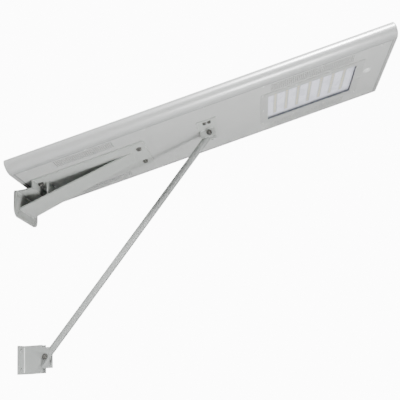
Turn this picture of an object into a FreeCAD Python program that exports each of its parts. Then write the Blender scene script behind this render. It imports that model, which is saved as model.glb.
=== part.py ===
"""All-in-one solar street lamp with a wedge arm, a strut and a pole shoe.

Millimetres. The row frame has its origin at the centre of the arm flange's back face, +X away from the pole,
+Z up and +Y across the lamp. Lamp pieces are drawn in the lamp's own frame, whose +X runs along the housing
from the pole end, whose Z = 0 plane is the underside sheet, and which is tilted by TILT.
"""

import FreeCAD
import Part
import math
import os

from FreeCAD import Placement, Rotation, Vector

# Housing
LAMP_LENGTH = 1100.0
SHEET_WIDTH = 341.0
LAMP_DEPTH = 45.0
RAIL_BULGE = 30.0
RAIL_WALL = 2.0
SHEET = 2.0
CAP_PLATE = 3.0
CAP_LIP = 8.0
LEDGE = 14.0
PANEL_LIP = 9.0
SEAM = 0.3
SHEET_SEAM = 1.0
PORT_RADIUS = 4.0
PORT_BORE = 1.6
PORT_INSET = 5.2
PORT_HEIGHTS = (12.0, 33.0)
CAP_SCREW_LENGTH = 14.0
PANEL_RECESS = 1.5
PANEL_THICKNESS = 4.6
PANEL_GLASS = 2.8
CELL_SIZE = 80.0
CELL_PITCH = 83.0
CELL_THICKNESS = 0.4
CELL_CHAMFER = 6.0

# Placing of the housing on the arm
TILT = 15.0
HOUSING_X = 20.0
HOUSING_Z = 51.5

# Light window
WINDOW_FROM_TIP = 234.0
WINDOW_LENGTH = 264.0
WINDOW_WIDTH = 176.0
BEZEL_BORDER = 22.0
BEZEL_PROUD = 2.0
BEZEL_CORNER = 5.0
BEZEL_EDGE = 12.0
GASKET_WALL = 4.0
GASKET_DEPTH = 6.0
COVER_GLASS = 3.0
LED_COLUMNS = 7
LED_ROWS = 10
LED_COLUMN_PITCH = 35.0
LED_ROW_PITCH = 15.6
LED_SIZE = 7.0
LED_HEIGHT = 0.9
REFLECTOR_SHEET = 0.6
REFLECTOR_SLOT = 12.0
REFLECTOR_SLOT_SPARE = 4.0
LED_AIR = 2.0
BOARD = 1.6
SINK_BASE = 4.0
SINK_RIM = 3.0
SINK_FINS = 11
FIN_HEIGHT = 16.0
FIN_THICKNESS = 2.0

# Sheet screws
SHEET_SCREWS = 7
SHEET_SCREW_INSET = 30.0
SHEET_SCREW_EDGE = 5.0

# Vents
VENT_LENGTH = 6.6
VENT_WIDTH = 2.6
VENT_ROWS = 5
VENT_ROW_PITCH = 8.8
VENT_PITCH = 5.6
VENT_FROM_EDGE = 31.5
POLE_VENTS = (118.0, 287.0)
VENT_SHORTER = 10.0
FILTER = 2.0
FILTER_GAP = 0.5
FILTER_MARGIN = 2.5

# Motion sensor
SENSOR_GAP = 18.0
SENSOR_Y = -25.0
SENSOR_RADIUS = 12.0
SENSOR_NECK_RADIUS = 10.0
SENSOR_PROUD = 5.0
SENSOR_BODY = 20.0

# Inside the housing
CELL_RADIUS = 16.0
BATTERY_CELL_LENGTH = 70.0
BATTERY_START = 124.0
BATTERY_ROWS = 2
BATTERY_COLUMNS = 6
CELL_GAP = 1.0
CELL_END_GAP = 2.0
TRAY = 1.5
TRAY_SPARE = 3.0
CONTROLLER_START = 400.0
CONTROLLER_LENGTH = 120.0
CONTROLLER_WIDTH = 84.0
CONTROLLER_HEIGHT = 34.0
JUNCTION_START = 600.0
JUNCTION_LENGTH = 60.0
JUNCTION_WIDTH = 70.0
JUNCTION_HEIGHT = 10.0
LEAD_RADIUS = 2.0
BATTERY_LEAD_Y = -20.0
LED_LEAD_Y = 0.0
PANEL_LEAD_Y = 25.0
STRAP_WIDTH = 14.0
STRAP = 1.2

# Arm
FLANGE_WIDTH = 185.0
FLANGE_HEIGHT = 75.0
FLANGE_THICKNESS = 6.0
FLANGE_TOP_CORNER = 12.0
FLANGE_LOW_CORNER = 25.0
FLANGE_HOLES_Y = 136.0
FLANGE_HOLES_Z = 44.0
FLANGE_HOLE_RADIUS = 5.5
ARM_PLATE = 4.0
PAD_START = 33.0
PAD_END = 363.0
PAD_WIDTH = 190.0
WEB_WIDTH_POLE = 118.0
WEB_WIDTH_TIP = 78.0
WEB_TIP = 318.0
WEB_DROP = 12.5
RIB_AT = 62.0
RIB_WIDTH = 100.0
PAD_BOLTS_X = (46.0, 342.0)
PAD_BOLTS_Y = 110.0
PAD_BOLT_RADIUS = 4.0
BACKING = 3.0
BACKING_WIDTH = 30.0
BACKING_LENGTH = 160.0

# Strut and its pivots
STRUT_RADIUS = 10.0
STRUT_WALL = 1.5
STRUT_END_LENGTH = 24.0
SPIGOT = 30.0
PIVOT_RADIUS = 4.0
PIVOT_CLEARANCE = 0.05
LUG_X = 548.0
LUG_DROP = 15.5
LUG_DEPTH = 26.0
LUG_BASE = 3.0
LUG_BASE_WIDTH = 58.0
LUG_BASE_SPAN = 164.0
LUG_EAR_POLE = 25.0
LUG_EAR_TIP = 17.0
LUG_EAR_CORNER = 3.0
EAR = 4.0
SPACER = 2.5
SPACER_RADIUS = 8.0
LUG_SCREWS_X = 14.0
LUG_SCREWS_Y = 134.0
LUG_SCREW_RADIUS = 3.0

# Pole shoe
SHOE_WIDTH = 119.0
SHOE_HEIGHT = 76.0
SHOE_THICKNESS = 4.0
SHOE_CENTRE_Z = -426.5
SHOE_CORNER = 4.0
SHOE_HOLES_Y = 76.0
SHOE_HOLES_Z = 50.0
SHOE_HOLE_RADIUS = 5.5
CLEVIS_FULL = 54.0
CLEVIS_REACH = 73.0
CLEVIS_EAR_HEIGHT = 56.0
SHOE_PIVOT_X = 61.6
SHOE_PIVOT_RISE = 6.0
CLEVIS_EAR_DROP = 3.0

# Fasteners: across flats, head height, washer radius, washer thickness
M8 = (13.0, 5.3, 8.0, 1.6)
M6 = (10.0, 4.0, 6.0, 1.2)
CAP_SCREW_HEAD = (3.0, 1.8)
THREAD_PROUD = 9.0
SCREW_PROUD = 3.0

X_AXIS = Vector(1, 0, 0)
Y_AXIS = Vector(0, 1, 0)
Z_AXIS = Vector(0, 0, 1)
HALF = SHEET_WIDTH / 2
WINDOW_CENTRE = LAMP_LENGTH - WINDOW_FROM_TIP
WINDOW_START = WINDOW_CENTRE - WINDOW_LENGTH / 2
WINDOW_END = WINDOW_CENTRE + WINDOW_LENGTH / 2
WINDOW_VENTS = (WINDOW_START + VENT_SHORTER, WINDOW_END - VENT_SHORTER)
VENT_BANDS = (POLE_VENTS, WINDOW_VENTS)
VENT_CENTRE = HALF - VENT_FROM_EDGE
SENSOR_X = WINDOW_END + BEZEL_BORDER + SENSOR_GAP
BATTERY_PITCH = 2 * CELL_RADIUS + CELL_GAP
EAR_GAP = 2 * (STRUT_RADIUS + SPACER + SEAM)
LEDGE_TOP = 2 * SHEET
PANEL_TOP = LAMP_DEPTH - PANEL_RECESS
PANEL_BOTTOM = PANEL_TOP - PANEL_THICKNESS
INSIDE = SHEET
LAMP_PLACE = Placement(Vector(HOUSING_X, 0, HOUSING_Z), Rotation(Y_AXIS, -TILT))
SHEET_ENDS = (CAP_PLATE + CAP_LIP + SHEET_SEAM, LAMP_LENGTH - CAP_PLATE - CAP_LIP - SHEET_SEAM)
GLASS_BOTTOM = GASKET_DEPTH
BOARD_BOTTOM = GLASS_BOTTOM + COVER_GLASS + LED_AIR
LUG_PIVOT = LAMP_PLACE.multVec(Vector(LUG_X, 0, -LUG_DROP))
SHOE_PIVOT = Vector(SHOE_PIVOT_X, 0, SHOE_CENTRE_Z + SHOE_PIVOT_RISE)


def box(x0, x1, y0, y1, z0, z1):
    return Part.makeBox(x1 - x0, y1 - y0, z1 - z0, Vector(x0, y0, z0))


def slab(x0, x1, width, z0, z1):
    """A box centred across the lamp."""
    return box(x0, x1, -width / 2, width / 2, z0, z1)


def rod(radius, start, along, length):
    return Part.makeCylinder(radius, length, start, along)


def bores(radius, places, low, depth):
    """Cylinders along Z at a list of places, from low up."""
    return [rod(radius, Vector(x, y, low), Z_AXIS, depth) for x, y in places]


def wall_bores(radius, places, height, depth):
    """Cylinders along X at a list of places across a plate that stands against the pole."""
    return [rod(radius, Vector(0, y, height + z), X_AXIS, depth) for y, z in places]


def prism_across(points, y0, y1):
    """A solid with a straight-sided outline in the XZ plane, from y0 to y1."""
    corners = [Vector(x, y0, z) for x, z in points]
    face = Part.Face(Part.makePolygon(corners + corners[:1]))
    return face.extrude(Vector(0, y1 - y0, 0))


def rounded_rectangle(width, height, low_corner, high_corner):
    """A closed wire in the XY plane about the origin, with one corner radius below and one above."""
    x = width / 2
    y = height / 2
    edges = []
    for sx, sy in ((1, 1), (-1, 1), (-1, -1), (1, -1)):
        corner = high_corner if sy > 0 else low_corner
        k = corner * (1 - math.sqrt(0.5))
        side = Vector(sx * x, sy * (y - corner), 0)
        end = Vector(sx * (x - corner), sy * y, 0)
        middle = Vector(sx * (x - k), sy * (y - k), 0)
        first, last = (side, end) if sx * sy > 0 else (end, side)
        if edges:
            edges.append(Part.LineSegment(edges[-1].EndPoint, first))
        edges.append(Part.Arc(first, middle, last))
    edges.append(Part.LineSegment(edges[-1].EndPoint, edges[0].StartPoint))
    return Part.Wire([edge.toShape() for edge in edges])


def rounded_plate(width, height, thickness, low_corner, high_corner):
    """A rounded plate in the XY plane, from Z = 0 up."""
    face = Part.Face(rounded_rectangle(width, height, low_corner, high_corner))
    return face.extrude(Vector(0, 0, thickness))


def upright(shape, x, z):
    """Stands a shape drawn in the XY plane against the pole: its X goes to Y, its Y to Z, its Z to X."""
    turned = shape.copy()
    turned.Placement = Placement(Vector(x, 0, z), Rotation(Y_AXIS, Z_AXIS, X_AXIS, "XYZ"))
    return turned


def hexagon(flats, height, base, along):
    """A hexagonal head or nut on base, growing along a direction."""
    reach = flats / math.sqrt(3)
    angles = [number * math.pi / 3 for number in range(7)]
    points = [Vector(reach * math.cos(angle), reach * math.sin(angle), 0) for angle in angles]
    solid = Part.Face(Part.makePolygon(points)).extrude(Vector(0, 0, height))
    solid.Placement = Placement(base, Rotation(Z_AXIS, along))
    return solid


def washer(radius, bore, thickness, base, along):
    return rod(radius, base, along, thickness).cut(rod(bore, base, along, thickness))


def fuse(shapes):
    shapes = list(shapes)
    return shapes[0].multiFuse(shapes[1:]).removeSplitter()


def group(shapes):
    return Part.makeCompound(list(shapes))


def corners(spacing_x, spacing_y):
    """The four corners of a rectangle about the origin."""
    return [(sx * spacing_x / 2, sy * spacing_y / 2) for sx in (-1, 1) for sy in (-1, 1)]


def on_lamp(shape):
    placed = shape.copy()
    placed.Placement = LAMP_PLACE.multiply(placed.Placement)
    return placed


def half_ellipse(side, x, bulge, depth):
    """The outer outline of a rail: a half ellipse that bulges away from the sheet's edge."""
    centre = Vector(x, side * HALF, LAMP_DEPTH / 2)
    ellipse = Part.Ellipse(centre + Vector(0, side * bulge, 0), centre + Vector(0, 0, depth / 2), centre)
    return Part.ArcOfEllipse(ellipse, -math.pi / 2, math.pi / 2).toShape()


def d_section(side, x0, x1, bulge, depth):
    arc = half_ellipse(side, x0, bulge, depth)
    ends = [vertex.Point for vertex in arc.Vertexes]
    chord = Part.LineSegment(ends[1], ends[0]).toShape()
    return Part.Face(Part.Wire([arc, chord])).extrude(Vector(x1 - x0, 0, 0))


def port_places(side):
    return [(side * (HALF + PORT_INSET), z) for z in PORT_HEIGHTS]


def side_rail(side):
    """A hollow bullnose extrusion with ledges for the sheet and the panel, and screw ports."""
    x0 = CAP_PLATE
    x1 = LAMP_LENGTH - CAP_PLATE
    skin = d_section(side, x0, x1, RAIL_BULGE, LAMP_DEPTH)
    hollow = d_section(side, x0, x1, RAIL_BULGE - RAIL_WALL, LAMP_DEPTH - 2 * RAIL_WALL)
    inner = sorted((side * (HALF + RAIL_WALL), side * (HALF + RAIL_BULGE)))
    hollow = hollow.common(box(x0, x1, inner[0], inner[1], 0, LAMP_DEPTH))
    sheet_ledge = sorted((side * (HALF - LEDGE), side * (HALF + RAIL_WALL / 2)))
    panel_ledge = sorted((side * (HALF - PANEL_LIP), side * (HALF + RAIL_WALL / 2)))
    rail = skin.cut(hollow)
    ledges = [box(x0, x1, sheet_ledge[0], sheet_ledge[1], SHEET, LEDGE_TOP)]
    for z0, z1 in ((PANEL_BOTTOM - RAIL_WALL, PANEL_BOTTOM), (PANEL_TOP, LAMP_DEPTH)):
        ledges.append(box(x0, x1, panel_ledge[0], panel_ledge[1], z0, z1))
    ports = [rod(PORT_RADIUS, Vector(x0, y, z), X_AXIS, x1 - x0) for y, z in port_places(side)]
    holes = [rod(PORT_BORE, Vector(x0, y, z), X_AXIS, x1 - x0) for y, z in port_places(side)]
    holes += bores(PORT_BORE, [(x, y) for x, y in sheet_screw_places() if y * side > 0], SHEET, SHEET)
    return fuse([rail, *ledges, *ports]).cut(group(holes))


def end_cap(at_tip):
    """A plate over the whole end section, with a lip that closes the underside up to the sheet."""
    x0 = LAMP_LENGTH - CAP_PLATE if at_tip else 0.0
    sides = [d_section(side, x0, x0 + CAP_PLATE, RAIL_BULGE, LAMP_DEPTH) for side in (-1, 1)]
    middle = slab(x0, x0 + CAP_PLATE, SHEET_WIDTH, 0, LAMP_DEPTH)
    lip_start = x0 - CAP_LIP if at_tip else CAP_PLATE
    lip = slab(lip_start, lip_start + CAP_LIP, SHEET_WIDTH - 2 * SEAM, 0, SHEET)
    places = port_places(-1) + port_places(1)
    holes = [rod(PORT_BORE, Vector(x0, y, z), X_AXIS, CAP_PLATE) for y, z in places]
    return fuse([middle, lip, *sides]).cut(group(holes))


def cap_screws(at_tip):
    head_radius, head_height = CAP_SCREW_HEAD
    start = LAMP_LENGTH if at_tip else 0.0
    out = X_AXIS if at_tip else -X_AXIS
    screws = []
    for y, z in port_places(-1) + port_places(1):
        base = Vector(start, y, z)
        shank = rod(PORT_BORE - PIVOT_CLEARANCE, base, -out, CAP_SCREW_LENGTH)
        screws.append(shank.fuse(rod(head_radius, base, out, head_height)))
    return group(screws)


def vent_wires():
    """The perforations: short slots across the lamp, in rows on both sides."""
    wires = []
    for start, end in VENT_BANDS:
        count = int((end - start) / VENT_PITCH)
        for side in (-1, 1):
            for row in range(VENT_ROWS):
                y = side * VENT_CENTRE + (row - (VENT_ROWS - 1) / 2) * VENT_ROW_PITCH
                for column in range(count):
                    x = start + column * VENT_PITCH
                    slot = [
                        Vector(x, y - VENT_LENGTH / 2, 0),
                        Vector(x + VENT_WIDTH, y - VENT_LENGTH / 2, 0),
                        Vector(x + VENT_WIDTH, y + VENT_LENGTH / 2, 0),
                        Vector(x, y + VENT_LENGTH / 2, 0),
                    ]
                    wires.append(Part.makePolygon(slot + slot[:1]))
    return wires


def vent_filters():
    """A felt pad on the sheet behind each band of slots."""
    rows = VENT_ROWS * VENT_ROW_PITCH / 2
    pads = []
    for start, end in VENT_BANDS:
        for side in (-1, 1):
            inner = side * (VENT_CENTRE - rows - FILTER_MARGIN)
            outer = side * min(VENT_CENTRE + rows + FILTER_MARGIN, HALF - LEDGE - FILTER_GAP)
            y0, y1 = sorted((inner, outer))
            pads.append(box(start - FILTER_MARGIN, end + FILTER_MARGIN, y0, y1, SHEET, SHEET + FILTER))
    return group(pads)


def pad_bolt_places():
    return [(x, sy * PAD_BOLTS_Y / 2) for x in PAD_BOLTS_X for sy in (-1, 1)]


def lug_screw_places():
    return [(LUG_X + x, y) for x, y in corners(LUG_SCREWS_X, LUG_SCREWS_Y)]


def hole_wires(places, radius):
    return [Part.Wire(Part.makeCircle(radius, Vector(x, y, 0), Z_AXIS)) for x, y in places]


def bezel_screw_places():
    """Ten places round the light window, on the middle line of the bezel's outer part."""
    x = (WINDOW_LENGTH + 2 * BEZEL_BORDER - BEZEL_EDGE) / 2
    y = (WINDOW_WIDTH + 2 * BEZEL_BORDER - BEZEL_EDGE) / 2
    places = [(WINDOW_CENTRE + step * x, side * y) for step in (-1, -1 / 3, 1 / 3, 1) for side in (-1, 1)]
    return places + [(WINDOW_CENTRE - x, 0), (WINDOW_CENTRE + x, 0)]


def sheet_screw_places():
    first = SHEET_ENDS[0] + SHEET_SCREW_INSET
    last = SHEET_ENDS[1] - SHEET_SCREW_INSET
    step = (last - first) / (SHEET_SCREWS - 1)
    edge = HALF - SHEET_SCREW_EDGE
    return [(first + n * step, side * edge) for n in range(SHEET_SCREWS) for side in (-1, 1)]


def flush_screw(x, y, under, top):
    """A small pan-head screw whose head stands on the surface at under and whose shank ends at top."""
    head_radius, head_height = CAP_SCREW_HEAD
    head = rod(head_radius, Vector(x, y, under), -Z_AXIS, head_height)
    return head.fuse(rod(PORT_BORE - PIVOT_CLEARANCE, Vector(x, y, under), Z_AXIS, top - under))


def sheet_screws():
    return group(flush_screw(x, y, 0, LEDGE_TOP + SCREW_PROUD) for x, y in sheet_screw_places())


def bottom_sheet():
    """The perforated underside sheet, with its window and its bolt holes."""
    x0, x1 = SHEET_ENDS
    edge = HALF - SHEET_SEAM
    outline = [Vector(x0, -edge, 0), Vector(x1, -edge, 0), Vector(x1, edge, 0), Vector(x0, edge, 0)]
    window = rounded_rectangle(
        WINDOW_LENGTH + 2 * GASKET_WALL, WINDOW_WIDTH + 2 * GASKET_WALL, BEZEL_CORNER, BEZEL_CORNER
    )
    window.translate(Vector(WINDOW_CENTRE, 0, 0))
    holes = [window, *vent_wires()]
    holes += hole_wires(pad_bolt_places(), PAD_BOLT_RADIUS + PIVOT_CLEARANCE)
    holes += hole_wires(lug_screw_places(), LUG_SCREW_RADIUS + PIVOT_CLEARANCE)
    holes += hole_wires(bezel_screw_places() + sheet_screw_places(), PORT_BORE)
    holes += hole_wires([(SENSOR_X, SENSOR_Y)], SENSOR_NECK_RADIUS)
    face = Part.makeFace([Part.makePolygon(outline + outline[:1]), *holes], "Part::FaceMakerBullseye")
    return face.extrude(Vector(0, 0, SHEET))


def window_ring(outer_border, inner_gap, z0, z1, corner):
    """A frame round the light window, from z0 to z1."""
    length = WINDOW_LENGTH + 2 * outer_border
    outer = rounded_plate(length, WINDOW_WIDTH + 2 * outer_border, z1 - z0, corner, corner)
    half_opening = WINDOW_LENGTH / 2 + inner_gap
    ring = outer.cut(slab(-half_opening, half_opening, WINDOW_WIDTH + 2 * inner_gap, 0, z1 - z0))
    ring.translate(Vector(WINDOW_CENTRE, 0, z0))
    return ring


def led_places():
    places = []
    for column in range(LED_COLUMNS):
        x = WINDOW_CENTRE + (column - (LED_COLUMNS - 1) / 2) * LED_COLUMN_PITCH
        for row in range(LED_ROWS):
            places.append((x, (row - (LED_ROWS - 1) / 2) * LED_ROW_PITCH))
    return places


def light_engine():
    """Cover glass, gasket, board, emitters, reflector sheet and finned heat sink of the light window."""
    bezel_bores = bores(PORT_BORE, bezel_screw_places(), -BEZEL_PROUD, BEZEL_PROUD)
    bezel = window_ring(BEZEL_BORDER, 0, -BEZEL_PROUD, 0, BEZEL_CORNER)
    glass_half = WINDOW_LENGTH / 2 + GASKET_WALL - SEAM
    glass_width = WINDOW_WIDTH + 2 * GASKET_WALL - 2 * SEAM
    x0 = WINDOW_CENTRE - glass_half
    x1 = WINDOW_CENTRE + glass_half
    half = LED_SIZE / 2
    low = BOARD_BOTTOM - LED_HEIGHT
    chips = [box(x - half, x + half, y - half, y + half, low, BOARD_BOTTOM) for x, y in led_places()]
    reflector = slab(x0, x1, glass_width, BOARD_BOTTOM - REFLECTOR_SHEET, BOARD_BOTTOM)
    slot_half = REFLECTOR_SLOT / 2
    slot_length = LED_ROWS * LED_ROW_PITCH + REFLECTOR_SLOT_SPARE
    columns = [x for x, y in led_places()[::LED_ROWS]]
    reflector_bottom = BOARD_BOTTOM - REFLECTOR_SHEET
    slots = []
    for x in columns:
        slots.append(slab(x - slot_half, x + slot_half, slot_length, reflector_bottom, BOARD_BOTTOM))
    board_top = BOARD_BOTTOM + BOARD
    rim_border = GASKET_WALL + SINK_RIM
    rim_half = WINDOW_LENGTH / 2 + rim_border
    rim_width = WINDOW_WIDTH + 2 * rim_border
    rim_x0 = WINDOW_CENTRE - rim_half
    rim_x1 = WINDOW_CENTRE + rim_half
    fins = [
        slab(rim_x0, rim_x1, rim_width, board_top, board_top + SINK_BASE),
        window_ring(rim_border, GASKET_WALL, SHEET, board_top, BEZEL_CORNER),
        window_ring(BEZEL_BORDER, GASKET_WALL, SHEET, SHEET + SINK_RIM, BEZEL_CORNER),
    ]
    screw_bores = bores(PORT_BORE, bezel_screw_places(), SHEET, SINK_RIM)
    fin_top = board_top + SINK_BASE + FIN_HEIGHT
    for number in range(SINK_FINS):
        y = (number - (SINK_FINS - 1) / 2) * (glass_width - FIN_THICKNESS) / (SINK_FINS - 1)
        fins.append(box(x0, x1, y - FIN_THICKNESS / 2, y + FIN_THICKNESS / 2, board_top, fin_top))
    screws = [flush_screw(x, y, -BEZEL_PROUD, SHEET + SINK_RIM) for x, y in bezel_screw_places()]
    return {
        "window_bezel": bezel.cut(group(bezel_bores)),
        "window_gasket": window_ring(GASKET_WALL - SEAM, 0, 0, GASKET_DEPTH, BEZEL_CORNER),
        "window_glass": slab(x0, x1, glass_width, GLASS_BOTTOM, GLASS_BOTTOM + COVER_GLASS),
        "led_board": slab(x0, x1, glass_width, BOARD_BOTTOM, board_top),
        "led_emitters": group(chips),
        "led_reflector": reflector.cut(group(slots)),
        "heat_sink": fuse(fins).cut(group(screw_bores)),
        "bezel_screws": group(screws),
    }


def solar_panel():
    """Glass, cells, backsheet, junction box of the panel that closes the top."""
    x0 = CAP_PLATE + SEAM
    x1 = LAMP_LENGTH - CAP_PLATE - SEAM
    width = SHEET_WIDTH - 2 * SEAM
    glass_bottom = PANEL_TOP - PANEL_GLASS
    count_x = int((x1 - x0) / CELL_PITCH)
    count_y = int(width / CELL_PITCH)
    cells = []
    for i in range(count_x):
        for j in range(count_y):
            centre = Vector(
                (x0 + x1) / 2 + (i - (count_x - 1) / 2) * CELL_PITCH,
                (j - (count_y - 1) / 2) * CELL_PITCH,
                glass_bottom - CELL_THICKNESS,
            )
            a = CELL_SIZE / 2
            b = a - CELL_CHAMFER
            outline = [(a, b), (b, a), (-b, a), (-a, b), (-a, -b), (-b, -a), (b, -a), (a, -b), (a, b)]
            wire = Part.makePolygon([centre + Vector(x, y, 0) for x, y in outline])
            cells.append(Part.Face(wire).extrude(Vector(0, 0, CELL_THICKNESS)))
    junction_end = JUNCTION_START + JUNCTION_LENGTH
    junction_low = PANEL_BOTTOM - JUNCTION_HEIGHT
    return {
        "panel_glass": slab(x0, x1, width, glass_bottom, PANEL_TOP),
        "panel_cells": group(cells),
        "panel_backsheet": slab(x0, x1, width, PANEL_BOTTOM, glass_bottom - CELL_THICKNESS),
        "panel_junction_box": slab(JUNCTION_START, junction_end, JUNCTION_WIDTH, junction_low, PANEL_BOTTOM),
    }


def battery_end():
    """Where the last row of cells ends."""
    return BATTERY_START + BATTERY_ROWS * BATTERY_CELL_LENGTH + (BATTERY_ROWS - 1) * CELL_END_GAP


def battery():
    """A tray of round cells that lie along the lamp, with two straps over them."""
    cells = []
    for i in range(BATTERY_ROWS):
        for j in range(BATTERY_COLUMNS):
            start = Vector(
                BATTERY_START + i * (BATTERY_CELL_LENGTH + CELL_END_GAP),
                (j - (BATTERY_COLUMNS - 1) / 2) * BATTERY_PITCH,
                INSIDE + TRAY + CELL_RADIUS,
            )
            cells.append(rod(CELL_RADIUS, start, X_AXIS, BATTERY_CELL_LENGTH))
    x0 = BATTERY_START - TRAY_SPARE
    x1 = battery_end() + TRAY_SPARE
    width = (BATTERY_COLUMNS - 1) * BATTERY_PITCH + 2 * (CELL_RADIUS + TRAY_SPARE)
    outer = slab(x0 - TRAY, x1 + TRAY, width + 2 * TRAY, INSIDE, INSIDE + CELL_RADIUS)
    inner = slab(x0, x1, width, INSIDE + TRAY, INSIDE + CELL_RADIUS)
    strap_top = INSIDE + TRAY + 2 * CELL_RADIUS
    straps = []
    for i in range(BATTERY_ROWS):
        middle = BATTERY_START + (i + 1 / 2) * BATTERY_CELL_LENGTH + i * CELL_END_GAP
        ends = (middle - STRAP_WIDTH / 2, middle + STRAP_WIDTH / 2)
        strap_width = width + 2 * TRAY
        over = slab(*ends, strap_width + 2 * STRAP, INSIDE, strap_top + STRAP)
        straps.append(over.cut(slab(*ends, strap_width, INSIDE, strap_top)))
    return {"battery_cells": group(cells), "battery_tray": outer.cut(inner), "battery_straps": group(straps)}


def inner_parts():
    """Charge controller, sensor body, backing plates and the short leads between the boxes."""
    controller_end = CONTROLLER_START + CONTROLLER_LENGTH
    tray_end = battery_end() + TRAY_SPARE + TRAY
    sink_start = WINDOW_START - GASKET_WALL - SINK_RIM
    lead_low = INSIDE + CELL_RADIUS / 2
    board_level = BOARD_BOTTOM + BOARD + SINK_BASE / 2
    junction_lead = PANEL_BOTTOM - JUNCTION_HEIGHT / 2
    controller = slab(CONTROLLER_START, controller_end, CONTROLLER_WIDTH, INSIDE, INSIDE + CONTROLLER_HEIGHT)
    half = BACKING_WIDTH / 2
    arm_backing = []
    for x in PAD_BOLTS_X:
        arm_backing.append(slab(x - half, x + half, BACKING_LENGTH, SHEET, SHEET + BACKING))
    pad_holes = bores(PAD_BOLT_RADIUS + PIVOT_CLEARANCE, pad_bolt_places(), SHEET, BACKING)
    lug_backing = slab(LUG_X - half, LUG_X + half, BACKING_LENGTH, SHEET, SHEET + BACKING)
    lug_holes = bores(LUG_SCREW_RADIUS + PIVOT_CLEARANCE, lug_screw_places(), SHEET, BACKING)
    leads = {
        "battery_lead": (tray_end, CONTROLLER_START, BATTERY_LEAD_Y, lead_low),
        "led_lead": (controller_end, sink_start, LED_LEAD_Y, board_level),
        "panel_lead": (controller_end, JUNCTION_START, PANEL_LEAD_Y, junction_lead),
    }
    nodes = {
        name: rod(LEAD_RADIUS, Vector(x0, y, z), X_AXIS, x1 - x0) for name, (x0, x1, y, z) in leads.items()
    }
    nodes["charge_controller"] = controller
    nodes["arm_backing_strips"] = group(arm_backing).cut(group(pad_holes))
    nodes["lug_backing_strip"] = lug_backing.cut(group(lug_holes))
    return nodes


def motion_sensor():
    """A shallow lens dome outside the sheet and the sensor's body inside."""
    sphere_radius = (SENSOR_RADIUS**2 + SENSOR_PROUD**2) / (2 * SENSOR_PROUD)
    dome = Part.makeSphere(sphere_radius, Vector(SENSOR_X, SENSOR_Y, sphere_radius - SENSOR_PROUD))
    dome = dome.common(rod(SENSOR_RADIUS, Vector(SENSOR_X, SENSOR_Y, -SENSOR_PROUD), Z_AXIS, SENSOR_PROUD))
    neck = rod(SENSOR_NECK_RADIUS - PIVOT_CLEARANCE, Vector(SENSOR_X, SENSOR_Y, 0), Z_AXIS, SHEET)
    body = rod(SENSOR_RADIUS, Vector(SENSOR_X, SENSOR_Y, SHEET), Z_AXIS, SENSOR_BODY)
    return {"sensor_lens": dome, "sensor_body": fuse([neck, body])}


def through_bolt(base, along, grip, radius, sizes, proud):
    """A hexagon bolt with its head on base, two washers and a nut beyond the grip."""
    flats, head_height, washer_radius, washer_thickness = sizes
    head_base = base - along * washer_thickness
    far = base + along * grip
    nut_base = far + along * washer_thickness
    length = grip + 2 * washer_thickness + head_height + proud
    bolt = rod(radius, head_base, along, length).fuse(hexagon(flats, head_height, head_base, -along))
    bore = radius + PIVOT_CLEARANCE
    washers = [
        washer(washer_radius, bore, washer_thickness, head_base, along),
        washer(washer_radius, bore, washer_thickness, far, along),
    ]
    nut = hexagon(flats, head_height, nut_base, along).cut(rod(bore, nut_base, along, head_height))
    return bolt, washers, nut


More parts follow.
